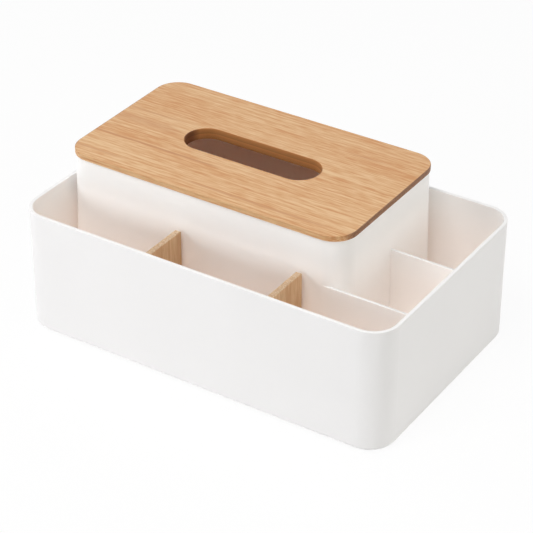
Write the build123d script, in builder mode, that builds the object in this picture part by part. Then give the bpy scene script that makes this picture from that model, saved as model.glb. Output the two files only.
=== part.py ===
# Tissue box organizer: a rounded tray that holds a lidded tissue box with two plastic partitions
# on its right, and two wooden dividers in its front bay. All sizes are in millimetres.
# The frame has +X along the tray, +Y from its front to its back and +Z up. The origin is under the
# middle of the tray, on the surface that its pads stand on.
import os

from build123d import *

# Tray
tray_length = 310.0
tray_width = 194.0
tray_height = 99.6
tray_wall = 2.7
tray_floor = 2.4
tray_corner_radius = 20.7
tray_base_round = 4.0
tray_inside_round = 2.0
rim_round = 0.4

# Tissue box: its sizes at the rim, how far its walls spread towards the floor in front and on the
# right, and on the left, and its gaps to the tray's left and back walls
box_length = 239.8
box_width = 136.3
box_height = 119.6
box_flare = 3.3
box_left_flare = 1.9
box_wall = 2.2
box_floor = 2.2
box_corner_radius = 18.0
box_base_round = 3.5
box_inside_round = 1.5
box_rim_round = 0.5
box_left_gap = 0.5
box_back_gap = 0.85

# Lid: a top board and a smaller board glued under it that drops into the box
lid_overhang = 1.0
lid_top_thickness = 4.5
lid_locating_thickness = 4.5
lid_fit = 0.7
lid_edge_round = 0.6
lid_slot_length = 115.4
lid_slot_width = 34.2
lid_slot_setback = 1.0
lid_slot_round = 0.4

# Bamboo dividers across the front bay, which lift out past the lid
divider_thickness = 4.85
divider_height = 88.9
divider_edge_round = 0.5
left_bay_length = 102.8
middle_bay_length = 98.9

# Plastic partitions across the side bay, welded to the box, with their right ends in guides
partition_thickness = 2.1
partition_height = 82.8
partition_edge_round = 0.45
side_bay_depth = 65.4

# Guides moulded inside the tray
guide_width = 1.8
guide_depth = 3.0
guide_height = 66.0
floor_rib_height = 3.0
floor_rib_length = 24.0
floor_rib_setback = 4.0

# Foot pads
pad_diameter = 16.0
pad_thickness = 1.6
pad_stand = 0.8
pad_inset = 26.0
pad_edge_round = 0.3

# Clearances
guide_fit = 0.25
weld_gap = 0.05
end_fit = 0.3
box_stop_fit = 0.4
pad_fit = 0.2
corner_ease = 1.0

# Levels
tray_underside = pad_stand
floor_top = tray_underside + tray_floor
box_top = floor_top + box_height

# Inside faces of the tray
inside_left = tray_wall - tray_length / 2
inside_right = tray_length / 2 - tray_wall
inside_front = tray_wall - tray_width / 2
inside_back = tray_width / 2 - tray_wall

# Outside faces of the tissue box at the floor and at its rim
base_left = inside_left + box_left_gap
box_left = base_left + box_left_flare
box_right = box_left + box_length
base_right = box_right + box_flare
box_back = inside_back - box_back_gap
box_front = box_back - box_width
base_front = box_front - box_flare
box_x = (box_left + box_right) / 2
box_y = (box_front + box_back) / 2
base_x = (base_left + base_right) / 2
base_y = (base_front + box_back) / 2
base_corner_radius = tray_corner_radius - tray_wall - box_left_gap
lid_corner_radius = box_corner_radius + lid_overhang
slot_y = box_y + lid_slot_setback

# Divider and partition places
left_divider_x = inside_left + left_bay_length + divider_thickness / 2
right_divider_x = left_divider_x + divider_thickness + middle_bay_length
divider_front = inside_front + end_fit
divider_back = min(base_front, box_front - lid_overhang) - end_fit
front_partition_lean = box_flare * partition_height / box_height
rear_partition_front = base_front + front_partition_lean + partition_thickness + side_bay_depth
partition_left = box_right - box_corner_radius
partition_right = inside_right - end_fit
partition_top = floor_top + partition_height
plate_corner_round = tray_inside_round + corner_ease

os.makedirs("parts", exist_ok=True)


def save(builder, name):
    builder.part.label = name
    export_step(builder.part, f"parts/{name}.step")


def front_guides(x):
    """Plan outline of the two ribs on the tray's front wall beside a divider, and its two floor ribs."""
    pitch = divider_thickness + 2 * guide_fit + guide_width
    for side in (-1, 1):
        rib_x = x + side * pitch / 2
        yield (rib_x, inside_front + guide_depth / 2), (guide_width, guide_depth), guide_height
        floor_rib_y = base_front - floor_rib_setback - floor_rib_length / 2
        yield (rib_x, floor_rib_y), (guide_width, floor_rib_length), floor_rib_height


def side_guides(front, back):
    """Plan outline of the two ribs on the tray's right wall before and behind a partition's right end."""
    reach = guide_fit + guide_width / 2
    for rib_y in (front - reach, back + reach):
        yield (inside_right - guide_depth / 2, rib_y), (guide_depth, guide_width), guide_height


def box_stops():
    """Plan outline of the floor ribs that keep the tissue box in the tray's back left corner."""
    reach = box_stop_fit + guide_width / 2
    for side in (-1, 1):
        stop_x = box_x + side * box_length / 4
        stop_y = box_y + side * box_width / 4
        yield (stop_x, base_front - reach), (floor_rib_length, guide_width), floor_rib_height
        yield (base_right + reach, stop_y), (guide_width, floor_rib_length), floor_rib_height


def box_body(inset):
    """Solid inside the box's rounded outline, from the floor to the rim, moved inwards by an inset."""
    with BuildPart() as body:
        with BuildSketch(Plane.XY.offset(floor_top)):
            with Locations((base_x, base_y)):
                RectangleRounded(
                    base_right - base_left - 2 * inset,
                    box_back - base_front - 2 * inset,
                    base_corner_radius - inset,
                )
        with BuildSketch(Plane.XY.offset(box_top)):
            with Locations((box_x, box_y)):
                RectangleRounded(
                    box_length - 2 * inset, box_width - 2 * inset, box_corner_radius - inset
                )
        loft(ruled=True)
    return body.part


ribs = [
    *front_guides(left_divider_x),
    *front_guides(right_divider_x),
    *side_guides(base_front, base_front + front_partition_lean + partition_thickness),
    *side_guides(rear_partition_front, rear_partition_front + partition_thickness),
    *box_stops(),
]
pad_places = {
    "foot_pad_front_left": (-1, -1),
    "foot_pad_front_right": (1, -1),
    "foot_pad_back_left": (-1, 1),
    "foot_pad_back_right": (1, 1),
}
pad_x = tray_length / 2 - pad_inset
pad_y = tray_width / 2 - pad_inset

# Tray: a rounded shell with an eased base and rim, guide ribs inside and pad recesses underneath
with BuildPart() as tray:
    with BuildSketch(Plane.XY.offset(tray_underside)):
        RectangleRounded(tray_length, tray_width, tray_corner_radius)
    extrude(amount=tray_height)
    fillet(tray.faces().sort_by(Axis.Z)[0].edges(), radius=tray_base_round)
    with BuildSketch(Plane.XY.offset(floor_top)):
        RectangleRounded(
            tray_length - 2 * tray_wall, tray_width - 2 * tray_wall, tray_corner_radius - tray_wall
        )
    extrude(amount=tray_height, mode=Mode.SUBTRACT)
    fillet(tray.faces().filter_by(Axis.Z).sort_by(Axis.Z)[1].edges(), radius=tray_inside_round)
    fillet(tray.faces().sort_by(Axis.Z)[-1].edges(), radius=rim_round)
    for centre, size, height in ribs:
        with BuildSketch(Plane.XY.offset(floor_top)):
            with Locations(centre):
                Rectangle(*size)
        extrude(amount=height)
    with BuildSketch(Plane.XY.offset(tray_underside)):
        with Locations(*[(sx * pad_x, sy * pad_y) for sx, sy in pad_places.values()]):
            Circle(pad_diameter / 2 + pad_fit)
    extrude(amount=pad_thickness - pad_stand, mode=Mode.SUBTRACT)
save(tray, "tray")

# Tissue box: an open rounded box that stands on the tray's floor
box_outside = box_body(0)
box_inside = box_body(box_wall)
with BuildPart() as tissue_box:
    add(box_outside)
    fillet(tissue_box.faces().sort_by(Axis.Z)[0].edges(), radius=box_base_round)
    cavity_floor = Plane.XY.offset(floor_top + box_floor)
    cavity = split(box_inside, bisect_by=cavity_floor, keep=Keep.TOP, mode=Mode.PRIVATE)
    add(cavity, mode=Mode.SUBTRACT)
    fillet(tissue_box.faces().filter_by(Axis.Z).sort_by(Axis.Z)[1].edges(), radius=box_inside_round)
    fillet(tissue_box.faces().sort_by(Axis.Z)[-1].edges(), radius=box_rim_round)
save(tissue_box, "tissue_box")

# Lid top board: lies on the box's rim and overhangs it all round
with BuildPart() as lid_top_board:
    with BuildSketch(Plane.XY.offset(box_top)):
        with Locations((box_x, box_y)):
            RectangleRounded(
                box_length + 2 * lid_overhang, box_width + 2 * lid_overhang, lid_corner_radius
            )
    extrude(amount=lid_top_thickness)
    board_edges = lid_top_board.faces().filter_by(Axis.Z).edges()
    fillet(board_edges, radius=lid_edge_round)
    with BuildSketch(Plane.XY.offset(box_top)):
        with Locations((box_x, slot_y)):
            SlotOverall(lid_slot_length, lid_slot_width)
    extrude(amount=lid_top_thickness, mode=Mode.SUBTRACT)
    slot_mouth = lid_top_board.faces().sort_by(Axis.Z)[-1].inner_wires()[0].edges()
    fillet(slot_mouth, radius=lid_slot_round)
save(lid_top_board, "lid_top_board")

# Lid locating board: glued under the top board, it drops inside the box's walls
with BuildPart() as lid_locating_board:
    with BuildSketch(Plane.XY.offset(box_top - lid_locating_thickness)):
        with Locations((box_x, box_y)):
            RectangleRounded(
                box_length - 2 * (box_wall + lid_fit),
                box_width - 2 * (box_wall + lid_fit),
                box_corner_radius - box_wall - lid_fit,
            )
        with Locations((box_x, slot_y)):
            SlotOverall(lid_slot_length, lid_slot_width, mode=Mode.SUBTRACT)
    extrude(amount=lid_locating_thickness)
    board_underside = lid_locating_board.faces().sort_by(Axis.Z)[0]
    fillet(board_underside.outer_wire().edges(), radius=lid_edge_round)
save(lid_locating_board, "lid_locating_board")

# Dividers: bamboo boards that stand between the tray's front wall and the box
for name, x in {"left_divider": left_divider_x, "right_divider": right_divider_x}.items():
    with BuildPart() as divider:
        with BuildSketch(Plane.YZ.offset(x - divider_thickness / 2)):
            with Locations(((divider_front + divider_back) / 2, floor_top + divider_height / 2)):
                Rectangle(divider_back - divider_front, divider_height)
        extrude(amount=divider_thickness)
        low_corners = divider.edges().filter_by(Axis.X).group_by(Axis.Z)[0]
        fillet(low_corners, radius=plate_corner_round)
        top_edges = divider.faces().sort_by(Axis.Z)[-1].edges()
        fillet(top_edges, radius=divider_edge_round)
    save(divider, name)

# Partitions: plates from the box's right to the tray's right wall, their left ends cut to the box
partition_lines = {
    "front_partition": (base_front, front_partition_lean),
    "rear_partition": (rear_partition_front, 0),
}
box_cut = box_body(-weld_gap)
for name, (front, lean) in partition_lines.items():
    with BuildPart() as partition:
        with BuildSketch(Plane.YZ.offset(partition_left)):
            with BuildLine():
                Polyline(
                    (front, floor_top),
                    (front + partition_thickness, floor_top),
                    (front + lean + partition_thickness, partition_top),
                    (front + lean, partition_top),
                    close=True,
                )
            make_face()
        extrude(amount=partition_right - partition_left)
        low_corner = partition.edges().filter_by(Axis.Y).group_by(Axis.Z)[0].sort_by(Axis.X)[-1]
        fillet(low_corner, radius=plate_corner_round)
        top_edges = partition.faces().sort_by(Axis.Z)[-1].edges().filter_by(Axis.X)
        fillet(top_edges, radius=partition_edge_round)
        add(box_cut, mode=Mode.SUBTRACT)
    save(partition, name)

# Foot pads: soft discs in the recesses under the tray
for name, (sx, sy) in pad_places.items():
    with BuildPart() as pad:
        with BuildSketch():
            with Locations((sx * pad_x, sy * pad_y)):
                Circle(pad_diameter / 2)
        extrude(amount=pad_thickness)
        fillet(pad.faces().sort_by(Axis.Z)[0].edges(), radius=pad_edge_round)
    save(pad, name)
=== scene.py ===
import math

import bpy
from mathutils import Matrix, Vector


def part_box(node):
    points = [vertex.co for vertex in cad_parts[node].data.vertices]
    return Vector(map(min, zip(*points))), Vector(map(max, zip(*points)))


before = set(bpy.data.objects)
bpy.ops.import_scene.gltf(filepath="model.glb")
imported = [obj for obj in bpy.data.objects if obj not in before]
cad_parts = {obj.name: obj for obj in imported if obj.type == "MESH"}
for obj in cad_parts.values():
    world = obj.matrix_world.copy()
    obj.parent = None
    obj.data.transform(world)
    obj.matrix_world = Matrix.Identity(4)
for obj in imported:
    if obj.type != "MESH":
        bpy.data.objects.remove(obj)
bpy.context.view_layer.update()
print("frame loaded:", len(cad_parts), "pieces")

mm = 0.001  # the frame is in metres


def toLinear(hexColour):  # sRGB hex to the linear colour that the sockets take
    parts = [int(hexColour[i:i + 2], 16) / 255 for i in (1, 3, 5)]
    return [c / 12.92 if c <= 0.04045 else ((c + 0.055) / 1.055) ** 2.4 for c in parts] + [1.0]


def addNode(tree, kind, links=None, **settings):  # one node, its settings and what feeds it
    node = tree.nodes.new(kind)
    for name, value in settings.items():
        setattr(node, name, value)
    for socket, value in (links or {}).items():
        if isinstance(value, bpy.types.NodeSocket):
            tree.links.new(value, node.inputs[socket])
        else:
            node.inputs[socket].default_value = value
    return node


def span(ends, start=0.0, unit=1.0):  # where a Map Range begins and ends
    return {"From Min": start + ends[0] * unit, "From Max": start + ends[1] * unit}


def newMaterial(name):
    material = bpy.data.materials.new(name)
    material.use_nodes = True
    material.node_tree.nodes.clear()
    return material, material.node_tree


def dress(material, *nodes):
    for node in nodes:
        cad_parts[node].data.materials.clear()
        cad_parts[node].data.materials.append(material)


# Polypropylene, injection moulded: satin white with a fine spark-eroded grain. Outside it reads a
# touch greyer. Inside it is painted brighter and warmer: painted light that stands in for the light the
# real walls let through and bounce between them. The upper walls get a painted cooler white where
# they stand in the lamps, and the rim's top gets a painted highlight.
plastic = {
    # painted light: outside greyer, inside brighter and warmer, for the light through and between the walls
    "outside": "#ECEBEB",
    "inside": "#FDF9F6",
    # painted light: the cooler white of upper walls that stand in the lamps
    "paintedLitUpper": "#F9FAFA",
    # painted highlight: the rim's top, which faces the lamps
    "rim": "#F4F3F3",
    "lining": "#FFFBF7",  # inside the tissue box
    "cornerMm": 20.7,  # the tray's corner radius, wall and floor, where inside ends
    "wallMm": 2.7,
    "floorMm": 2.4,
    "wallFade": (0.85, 0.97),  # shares of the wall and the floor over which outside turns to inside
    "floorFade": (0.3, 0.7),
    "topFacing": (0.8, 0.95),  # how far up a face has to look to be a top
    "topsFromMm": (60.0, 55.0),  # below this height a face that looks up is a floor
    "paintedLitUpperMm": (-35.0, 10.0),  # from the tray's rim, where the painted light of the upper walls fades in
    "rimMm": (-4.0, -2.0),
    "liningMm": (0.0, -20.0),
    "cloudTone": 0.985,
    "cloudSpread": (0.3, 0.7),
    "cloudMm": 60.0,
    "grainMm": 0.9,
    "bumpMm": 0.010,
    "bumpStrength": 0.5,
    "roughness": 0.46,
    "ior": 1.49,
}


def makePlastic(name, lined=False):
    material, tree = newMaterial(name)
    coords = addNode(tree, "ShaderNodeTexCoord")
    place, facing = coords.outputs["Object"], coords.outputs["Normal"]
    height = addNode(tree, "ShaderNodeSeparateXYZ", {0: place}).outputs["Z"]
    lift = addNode(tree, "ShaderNodeSeparateXYZ", {0: facing}).outputs["Z"]

    # reach towards the tray's rounded outline: length(max(|place| - straight half sides, 0))
    low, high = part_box("tray")
    radius, wall, floor = (plastic[size] * mm for size in ("cornerMm", "wallMm", "floorMm"))
    straight = ((high[0] - low[0]) / 2 - radius, (high[1] - low[1]) / 2 - radius, 1.0)
    folded = addNode(tree, "ShaderNodeVectorMath", {0: place}, operation="ABSOLUTE")
    past = addNode(tree, "ShaderNodeVectorMath", {0: folded.outputs[0], 1: straight}, operation="SUBTRACT")
    outer = addNode(tree, "ShaderNodeVectorMath", {0: past.outputs[0], 1: (0, 0, 0)}, operation="MAXIMUM")
    reach = addNode(tree, "ShaderNodeVectorMath", {0: outer.outputs[0]}, operation="LENGTH")

    # inside is within the walls, above the floor's underside and not the top of a plate or rim
    within = addNode(tree, "ShaderNodeMapRange", {
        "Value": reach.outputs["Value"], **span(plastic["wallFade"], radius, -wall)})
    above = addNode(tree, "ShaderNodeMapRange", {
        "Value": height, **span(plastic["floorFade"], low[2], floor)})
    sideways = addNode(tree, "ShaderNodeMapRange", {
        "Value": lift, **span(plastic["topFacing"]), "To Min": 1.0, "To Max": 0.0})
    deep = addNode(tree, "ShaderNodeMapRange", {"Value": height, **span(plastic["topsFromMm"], low[2], mm)})
    notTop = addNode(tree, "ShaderNodeMath", {
        0: sideways.outputs[0], 1: deep.outputs[0]}, operation="MAXIMUM")
    inside = within.outputs[0]
    for mask in (notTop, above):
        inside = addNode(tree, "ShaderNodeMath", {
            0: inside, 1: mask.outputs[0]}, operation="MULTIPLY").outputs[0]
    # painted light: towards the rim the inside colour turns to the cooler white of lit walls
    paintedLitUpper = addNode(tree, "ShaderNodeMapRange", {"Value": height, **span(plastic["paintedLitUpperMm"], high[2], mm)})
    # painted highlight on the upward faces at the rim's top
    atRim = addNode(tree, "ShaderNodeMapRange", {"Value": height, **span(plastic["rimMm"], high[2], mm)})
    paintedRimHighlight = addNode(tree, "ShaderNodeMath", {
        0: atRim.outputs[0], 1: sideways.outputs[0]}, operation="SUBTRACT", use_clamp=True)
    inner = addNode(tree, "ShaderNodeMix", {
        "Factor": paintedLitUpper.outputs[0], "A": toLinear(plastic["inside"]), "B": toLinear(plastic["paintedLitUpper"])},
        data_type="RGBA")
    # painted light: inside faces take the brighter, warmer colour and outside faces the greyer one
    shade = addNode(tree, "ShaderNodeMix", {
        "Factor": inside, "A": toLinear(plastic["outside"]), "B": inner.outputs["Result"]}, data_type="RGBA")
    shade = addNode(tree, "ShaderNodeMix", {
        "Factor": paintedRimHighlight.outputs[0], "A": shade.outputs["Result"], "B": toLinear(plastic["rim"])},
        data_type="RGBA")
    if lined:  # faces that look towards the middle of the box are its lining
        low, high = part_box("tissue_box")
        middle = [(a + b) / 2 for a, b in zip(low, high)]
        away = addNode(tree, "ShaderNodeVectorMath", {0: place, 1: middle}, operation="SUBTRACT")
        outward = addNode(tree, "ShaderNodeVectorMath", {
            0: away.outputs[0], 1: facing}, operation="DOT_PRODUCT")
        lining = addNode(tree, "ShaderNodeMapRange", {
            "Value": outward.outputs["Value"], **span(plastic["liningMm"], unit=mm)})
        shade = addNode(tree, "ShaderNodeMix", {
            "Factor": lining.outputs[0], "A": shade.outputs["Result"], "B": toLinear(plastic["lining"])},
            data_type="RGBA")

    # faint clouds in the colour and a fine grain in the surface
    cloud = addNode(tree, "ShaderNodeTexNoise", {
        "Vector": place, "Scale": 1 / (plastic["cloudMm"] * mm), "Detail": 2.0})
    cloudTone = addNode(tree, "ShaderNodeMapRange", {
        "Value": cloud.outputs["Fac"], **span(plastic["cloudSpread"]), "To Min": plastic["cloudTone"]})
    colour = addNode(tree, "ShaderNodeVectorMath", {
        0: shade.outputs["Result"], 1: cloudTone.outputs[0]}, operation="MULTIPLY")
    grain = addNode(tree, "ShaderNodeTexNoise", {
        "Vector": place, "Scale": 1 / (plastic["grainMm"] * mm), "Detail": 3.0})
    bump = addNode(tree, "ShaderNodeBump", {
        "Height": grain.outputs["Fac"], "Strength": plastic["bumpStrength"],
        "Distance": plastic["bumpMm"] * mm})
    shader = addNode(tree, "ShaderNodeBsdfPrincipled", {
        "Base Color": colour.outputs[0], "Roughness": plastic["roughness"], "IOR": plastic["ior"],
        "Normal": bump.outputs["Normal"]})
    addNode(tree, "ShaderNodeOutputMaterial", {"Surface": shader.outputs["BSDF"]})
    return material


dress(makePlastic("satinPolypropylene"), "tray", "front_partition", "rear_partition")
dress(makePlastic("linedPolypropylene", lined=True), "tissue_box")

# Bamboo board, sanded and matt lacquered: short fibre dashes and long straight lines in honey tones
# that wander a little, and dotted ends where the fibre bundles are cut across
bamboo = {
    "layers": (  # across and along the grain in mm, how much it shows, seed
        (1.2, 13.0, 2.2, 3.0),
        (2.1, 130.0, 2.1, 10.0),
        (17.0, 160.0, 1.2, 17.0),
    ),
    "wanderMm": 2.4,
    "wanderAcrossMm": 30.0,
    "wanderRunMm": 80.0,
    "wanderSeed": 23.0,
    "endTilt": (0.02, 0.12),
    "bundleMm": 0.9,
    "bundleTone": 0.72,
    "bundleSpread": (0.2, 0.5),
    "bumpMm": 0.02,
    "bumpStrength": 0.5,
    "roughness": 0.5,
    "ior": 1.5,
}


def makeBamboo(name, grainAxis, tones, addMarks=None):
    material, tree = newMaterial(name)
    coords = addNode(tree, "ShaderNodeTexCoord")
    place, facing = coords.outputs["Object"], coords.outputs["Normal"]

    def stretched(vector, acrossMm, alongMm, seed):  # noise drawn out along the fibres, in real sizes
        scale = [1 / ((alongMm if axis == grainAxis else acrossMm) * mm) for axis in "XYZ"]
        mapped = addNode(tree, "ShaderNodeMapping", {
            "Vector": vector, "Location": (seed,) * 3, "Scale": scale})
        return addNode(tree, "ShaderNodeTexNoise", {"Vector": mapped.outputs[0], "Scale": 1.0, "Detail": 3.0})

    # the fibres wander sideways, and layers of noise add up to a share of the light tone
    sway = stretched(place, bamboo["wanderAcrossMm"], bamboo["wanderRunMm"], bamboo["wanderSeed"])
    sideways = [0.0 if axis == grainAxis else bamboo["wanderMm"] * mm for axis in "XYZ"]
    bent = addNode(tree, "ShaderNodeVectorMath", {
        0: sway.outputs["Color"], 1: sideways, 2: place}, operation="MULTIPLY_ADD").outputs[0]
    lightShare = 0.5 - sum(weight for _, _, weight, _ in bamboo["layers"]) / 2
    for acrossMm, alongMm, weight, seed in bamboo["layers"]:
        layer = stretched(bent, acrossMm, alongMm, seed)
        lightShare = addNode(tree, "ShaderNodeMath", {
            0: layer.outputs["Fac"], 1: weight, 2: lightShare}, operation="MULTIPLY_ADD").outputs[0]
    colour = addNode(tree, "ShaderNodeMix", {
        "Factor": lightShare, "A": toLinear(tones["dark"]), "B": toLinear(tones["light"])},
        data_type="RGBA").outputs["Result"]
    if addMarks:
        colour = addMarks(tree, place, bent, facing, colour)

    # cut ends: another tone, with a dark dot for each fibre bundle
    turned = addNode(tree, "ShaderNodeVectorMath", {0: facing, 1: tones["turn"]}, operation="MULTIPLY")
    outward = addNode(tree, "ShaderNodeVectorMath", {0: turned.outputs[0]}, operation="NORMALIZE")
    endwise = addNode(tree, "ShaderNodeSeparateXYZ", {0: outward.outputs[0]}).outputs[grainAxis]
    steep = addNode(tree, "ShaderNodeMath", {0: endwise}, operation="ABSOLUTE")
    across = addNode(tree, "ShaderNodeMapRange", {"Value": steep.outputs[0], **span(tones["endFacing"])})
    tilt = addNode(tree, "ShaderNodeVectorMath", {0: turned.outputs[0]}, operation="LENGTH")
    tilted = addNode(tree, "ShaderNodeMapRange", {"Value": tilt.outputs["Value"], **span(bamboo["endTilt"])})
    atEnd = addNode(tree, "ShaderNodeMath", {
        0: across.outputs[0], 1: tilted.outputs[0]}, operation="MULTIPLY")
    bundles = addNode(tree, "ShaderNodeTexVoronoi", {"Vector": place, "Scale": 1 / (bamboo["bundleMm"] * mm)})
    dots = addNode(tree, "ShaderNodeMapRange", {
        "Value": bundles.outputs["Distance"], **span(bamboo["bundleSpread"]), "To Min": bamboo["bundleTone"]})
    cut = addNode(tree, "ShaderNodeVectorMath", {0: tones["end"], 1: dots.outputs[0]}, operation="MULTIPLY")
    endTone = addNode(tree, "ShaderNodeMix", {
        "Factor": atEnd.outputs[0], "A": (1, 1, 1, 1), "B": cut.outputs[0]}, data_type="RGBA")
    colour = addNode(tree, "ShaderNodeVectorMath", {
        0: colour, 1: endTone.outputs["Result"]}, operation="MULTIPLY").outputs[0]
    bump = addNode(tree, "ShaderNodeBump", {
        "Height": lightShare, "Strength": bamboo["bumpStrength"], "Distance": bamboo["bumpMm"] * mm})
    shader = addNode(tree, "ShaderNodeBsdfPrincipled", {
        "Base Color": colour, "Roughness": bamboo["roughness"], "IOR": bamboo["ior"],
        "Normal": bump.outputs["Normal"]})
    addNode(tree, "ShaderNodeOutputMaterial", {"Surface": shader.outputs["BSDF"]})
    return material


# What only the lid shows: long reddish streaks; upright edges painted with shade that deepens towards
# the top of each board; a darker routed slot wall that darkens towards each board's foot, partly
# painted shade down into the slot and partly the line where its two boards meet; and a bright warm
# underside that tints the light in the box
lid = {
    "light": "#DEB98D",
    "dark": "#C58C59",
    "end": (0.40, 0.315, 0.28),  # times the colour
    "endFacing": (0.8, 0.97),
    "turn": (1, 1, 0),  # how far a face turns is told in plan, so that the rounding goes with its edge
    "streak": "#BC8559",
    "streaks": (  # across mm, half width mm, from mm, to mm, depth
        (-4.8, 0.9, -175.0, -30.0, 1.0),
        (-33.2, 1.0, -60.0, 80.0, 0.7),
        (-31.5, 1.0, -165.0, -95.0, 0.7),
        (23.5, 4.5, -170.0, -85.0, 0.5),
        (38.5, 1.0, -165.0, -92.0, 0.6),
        (66.0, 1.2, 20.0, 70.0, 0.5),
    ),
    "streakFadeMm": 25.0,
    "edgeFoot": (1.02, 1.02, 1.01, 1.0),  # times the colour, at the foot and the top of a board's edge: painted shade, deepest over the rounded arris
    "edgeTop": (0.79, 0.73, 0.62, 1.0),
    "edgeFacing": (0.997, 0.93),
    "slotMm": (115.4, 34.2),
    "slotSetbackMm": 1.0,  # behind the middle of the lid
    "slotMarginMm": (0.4, 0.1),
    "slotColour": "#B77C46",
    "slotShadeAndJoint": (0.66, 1.04),  # each board is darkest at its foot: painted shade deeper in the slot, which also draws the joint as a line
    "underside": "#E9A566",
    "undersideShare": 0.8,
    "undersideFacing": (-0.7, -0.9),
}


def addLidMarks(tree, place, bent, facing, colour):
    across = addNode(tree, "ShaderNodeSeparateXYZ", {0: bent}).outputs["Y"]
    spot = addNode(tree, "ShaderNodeSeparateXYZ", {0: place})
    lift = addNode(tree, "ShaderNodeSeparateXYZ", {0: facing}).outputs["Z"]
    low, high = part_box("lid_top_board")

    for atMm, halfMm, fromMm, toMm, depth in lid["streaks"]:  # a soft band that fades out at its ends
        middle = (atMm + bamboo["wanderMm"] / 2) * mm
        off = addNode(tree, "ShaderNodeMath", {0: across, 1: middle}, operation="SUBTRACT")
        far = addNode(tree, "ShaderNodeMath", {0: off.outputs[0]}, operation="ABSOLUTE")
        band = addNode(tree, "ShaderNodeMapRange", {
            "Value": far.outputs[0], **span((0, 2 * halfMm), unit=mm), "To Min": depth, "To Max": 0.0},
            interpolation_type="SMOOTHSTEP").outputs[0]
        for endMm, inwardMm in ((fromMm, lid["streakFadeMm"]), (toMm, -lid["streakFadeMm"])):
            fade = addNode(tree, "ShaderNodeMapRange", {
                "Value": spot.outputs["X"], **span((endMm, endMm + inwardMm), unit=mm)},
                interpolation_type="SMOOTHSTEP")
            band = addNode(tree, "ShaderNodeMath", {
                0: band, 1: fade.outputs[0]}, operation="MULTIPLY").outputs[0]
        colour = addNode(tree, "ShaderNodeMix", {
            "Factor": band, "A": colour, "B": toLinear(lid["streak"])}, data_type="RGBA").outputs["Result"]

    # outer edges, painted shade: darker towards the top of each board, over the rounded arris that would
    # catch the light; both boards are equally thick, and rise goes from 0 to 1 up each of them
    thickness = high[2] - low[2]
    level = addNode(tree, "ShaderNodeMath", {
        0: spot.outputs["Z"], 1: low[2] - thickness}, operation="SUBTRACT")
    boards = addNode(tree, "ShaderNodeMath", {0: level.outputs[0], 1: 1 / thickness}, operation="MULTIPLY")
    rise = addNode(tree, "ShaderNodeMath", {0: boards.outputs[0]}, operation="FRACT").outputs[0]
    paintedEdgeShade = addNode(tree, "ShaderNodeMix", {
        "Factor": rise, "A": lid["edgeFoot"], "B": lid["edgeTop"]}, data_type="RGBA")
    paintedEdgeColour = addNode(tree, "ShaderNodeVectorMath", {
        0: colour, 1: paintedEdgeShade.outputs["Result"]}, operation="MULTIPLY")
    flat = addNode(tree, "ShaderNodeMath", {0: lift}, operation="ABSOLUTE")
    upright = addNode(tree, "ShaderNodeMapRange", {"Value": flat.outputs[0], **span(lid["edgeFacing"])})
    colour = addNode(tree, "ShaderNodeMix", {
        "Factor": upright.outputs[0], "A": colour, "B": paintedEdgeColour.outputs[0]}, data_type="RGBA").outputs["Result"]

    # slot wall: where length(max(|place - centre| - straight half length, 0)) is within the slot's radius
    length, width = (size * mm for size in lid["slotMm"])
    centre = ((low[0] + high[0]) / 2, (low[1] + high[1]) / 2 + lid["slotSetbackMm"] * mm, 0.0)
    straight = ((length - width) / 2, 0.0, 1.0)
    shifted = addNode(tree, "ShaderNodeVectorMath", {0: place, 1: centre}, operation="SUBTRACT")
    folded = addNode(tree, "ShaderNodeVectorMath", {0: shifted.outputs[0]}, operation="ABSOLUTE")
    past = addNode(tree, "ShaderNodeVectorMath", {0: folded.outputs[0], 1: straight}, operation="SUBTRACT")
    outer = addNode(tree, "ShaderNodeVectorMath", {0: past.outputs[0], 1: (0, 0, 0)}, operation="MAXIMUM")
    reach = addNode(tree, "ShaderNodeVectorMath", {0: outer.outputs[0]}, operation="LENGTH")
    inSlot = addNode(tree, "ShaderNodeMapRange", {
        "Value": reach.outputs["Value"], **span(lid["slotMarginMm"], width / 2, mm)})
    # painted shade: the slot wall darkens towards each board's foot, which also marks the boards' joint
    slotFoot, slotTop = lid["slotShadeAndJoint"]
    slotShadeAndJointTone = addNode(tree, "ShaderNodeMapRange", {"Value": rise, "To Min": slotFoot, "To Max": slotTop})
    slotWall = addNode(tree, "ShaderNodeVectorMath", {
        0: toLinear(lid["slotColour"])[:3], 1: slotShadeAndJointTone.outputs[0]}, operation="MULTIPLY")
    colour = addNode(tree, "ShaderNodeMix", {
        "Factor": inSlot.outputs[0], "A": colour, "B": slotWall.outputs[0]},
        data_type="RGBA").outputs["Result"]

    under = addNode(tree, "ShaderNodeMapRange", {
        "Value": lift, **span(lid["undersideFacing"]), "To Max": lid["undersideShare"]})
    return addNode(tree, "ShaderNodeMix", {
        "Factor": under.outputs[0], "A": colour, "B": toLinear(lid["underside"])},
        data_type="RGBA").outputs["Result"]


divider = {
    "light": "#D5B58D",
    "dark": "#C0966C",
    "end": (0.985, 1.065, 1.24),
    "endFacing": (0.3, 0.7),
    "turn": (1, 1, 1),
}

dress(makeBamboo("lidBamboo", "X", lid, addLidMarks), "lid_top_board", "lid_locating_board")
dress(makeBamboo("dividerBamboo", "Z", divider), "left_divider", "right_divider")

# Thermoplastic rubber, moulded soft: milky grey, a little uneven, with a pebbled matt face that grips
rubber = {
    "light": "#D6D6D2",
    "dark": "#C2C2BE",
    "mottleMm": 4.0,
    "pebbleMm": 0.6,
    "bumpMm": 0.04,
    "bumpStrength": 0.6,
    "roughness": 0.7,
    "ior": 1.5,
}


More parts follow.
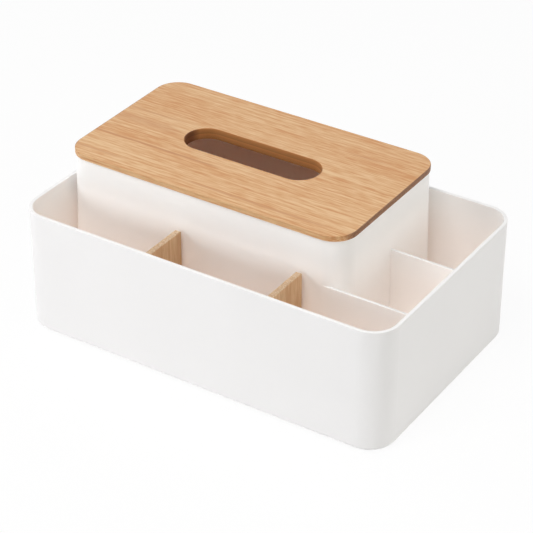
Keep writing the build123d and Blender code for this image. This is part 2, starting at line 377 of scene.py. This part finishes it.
def makeRubber():
    material, tree = newMaterial("thermoplasticRubber")
    place = addNode(tree, "ShaderNodeTexCoord").outputs["Object"]
    mottle = addNode(tree, "ShaderNodeTexNoise", {"Vector": place, "Scale": 1 / (rubber["mottleMm"] * mm)})
    tone = addNode(tree, "ShaderNodeMix", {
        "Factor": mottle.outputs["Fac"], "A": toLinear(rubber["dark"]), "B": toLinear(rubber["light"])},
        data_type="RGBA")
    pebbles = addNode(tree, "ShaderNodeTexVoronoi", {"Vector": place, "Scale": 1 / (rubber["pebbleMm"] * mm)})
    bump = addNode(tree, "ShaderNodeBump", {
        "Height": pebbles.outputs["Distance"], "Strength": rubber["bumpStrength"],
        "Distance": rubber["bumpMm"] * mm})
    shader = addNode(tree, "ShaderNodeBsdfPrincipled", {
        "Base Color": tone.outputs["Result"], "Roughness": rubber["roughness"], "IOR": rubber["ior"],
        "Normal": bump.outputs["Normal"]})
    addNode(tree, "ShaderNodeOutputMaterial", {"Surface": shader.outputs["BSDF"]})
    return material


dress(makeRubber(), *[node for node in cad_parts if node.startswith("foot_pad")])
print("materials done")

# Studio: a pale floor, which shows white to the camera and keeps a faint shadow
studio = {
    "floorSize": 6.0,
    "floorLevel": -0.0003,  # just clear of the pads, which end at 0
    "floorColour": "#F4F4F4",
    "whiteShare": 0.92,
    "bounces": 16,  # white walls light each other many times over
    "spareBounces": 4,
    "aim": (0.0, 0.0, 0.06),
}


def whiteRays(tree):  # 1 for what the camera sees, directly or in a gloss or through glass
    ray = addNode(tree, "ShaderNodeLightPath")
    seen = ray.outputs["Is Camera Ray"]
    for other in ("Is Glossy Ray", "Is Transmission Ray"):
        seen = addNode(tree, "ShaderNodeMath", {
            0: seen, 1: ray.outputs[other]}, operation="MAXIMUM").outputs[0]
    return seen


def makeFloor():
    half = studio["floorSize"] / 2
    mesh = bpy.data.meshes.new("floor")
    corners = [(-half, -half), (half, -half), (half, half), (-half, half)]
    mesh.from_pydata([(x, y, studio["floorLevel"]) for x, y in corners], [], [(0, 1, 2, 3)])
    floor = bpy.data.objects.new("floor", mesh)
    bpy.context.scene.collection.objects.link(floor)
    material, tree = newMaterial("paleFloor")
    matt = addNode(tree, "ShaderNodeBsdfDiffuse", {"Color": toLinear(studio["floorColour"])})
    white = addNode(tree, "ShaderNodeEmission", {"Strength": 1.0})
    share = addNode(tree, "ShaderNodeMath", {
        0: whiteRays(tree), 1: studio["whiteShare"]}, operation="MULTIPLY")
    mixed = addNode(tree, "ShaderNodeMixShader", {
        0: share.outputs[0], 1: matt.outputs[0], 2: white.outputs[0]})
    addNode(tree, "ShaderNodeOutputMaterial", {"Surface": mixed.outputs[0]})
    mesh.materials.append(material)


makeFloor()

lamps = {
    "keyLamp": {"at": (-0.72, -1.41, 0.42), "size": 0.45, "watts": 8.3, "colour": "#FFFFFF"},
    "overheadLamp": {"at": (0.0, -0.8, 1.5), "size": 0.8, "watts": 12.1, "colour": "#FFFFFF"},
    "topLamp": {"at": (-0.25, 0.0, 1.6), "size": 1.4, "watts": 7.3, "colour": "#FFFFFF"},
    "leftLamp": {"at": (-1.6, -0.2, 0.8), "size": 1.2, "watts": 8.4, "colour": "#FFFFFF"},
    "rightLamp": {"at": (1.5, -0.2, 0.7), "size": 1.2, "watts": 8.1, "colour": "#FFFDF7"},
    "rightBackLamp": {"at": (1.35, 0.6, 0.6), "size": 1.0, "watts": 3.0, "colour": "#FFFDF7"},
    "backLamp": {"at": (0.6, 1.6, 0.8), "size": 1.4, "watts": 8.0, "colour": "#FFFFFF"},
}
for name, spec in lamps.items():
    light = bpy.data.lights.new(name, "AREA")
    light.size = spec["size"]
    light.energy = spec["watts"]
    light.color = toLinear(spec["colour"])[:3]
    lamp = bpy.data.objects.new(name, light)
    bpy.context.scene.collection.objects.link(lamp)
    lamp.location = spec["at"]
    dx, dy, dz = (a - b for a, b in zip(studio["aim"], spec["at"]))  # a lamp shines along its own -Z
    lamp.rotation_euler = (math.atan2(math.hypot(dx, dy), -dz), 0, math.atan2(-dx, dy))

world = bpy.data.worlds.new("studioWorld")
bpy.context.scene.world = world
world.use_nodes = True
world.node_tree.nodes.clear()
backdrop = addNode(world.node_tree, "ShaderNodeBackground", {
    "Color": (1, 1, 1, 1), "Strength": whiteRays(world.node_tree)})
addNode(world.node_tree, "ShaderNodeOutputWorld", {"Surface": backdrop.outputs[0]})
bpy.context.scene.cycles.diffuse_bounces = studio["bounces"]
bpy.context.scene.cycles.max_bounces = studio["bounces"] + studio["spareBounces"]
print("studio done")

# Camera fitted to the photograph's straight edges
view = {
    "at": (0.67648, -1.04953, 0.84715),
    "azimuth": 32.821,
    "elevation": 32.469,
    "roll": 0.073,
    "lensMm": 134.35,
    "sensorMm": 36.0,
}
camera = bpy.data.objects.new("camera", bpy.data.cameras.new("camera"))
camera.data.lens = view["lensMm"]
camera.data.sensor_width = view["sensorMm"]
camera.location = view["at"]
turn = Matrix.Identity(3)
for degrees, axis in ((view["azimuth"], "Z"), (90 - view["elevation"], "X"), (view["roll"], "Z")):
    turn = turn @ Matrix.Rotation(math.radians(degrees), 3, axis)
camera.rotation_euler = turn.to_euler()
bpy.context.scene.collection.objects.link(camera)
bpy.context.scene.camera = camera
bpy.context.scene.view_settings.view_transform = "Standard"
print("camera done")
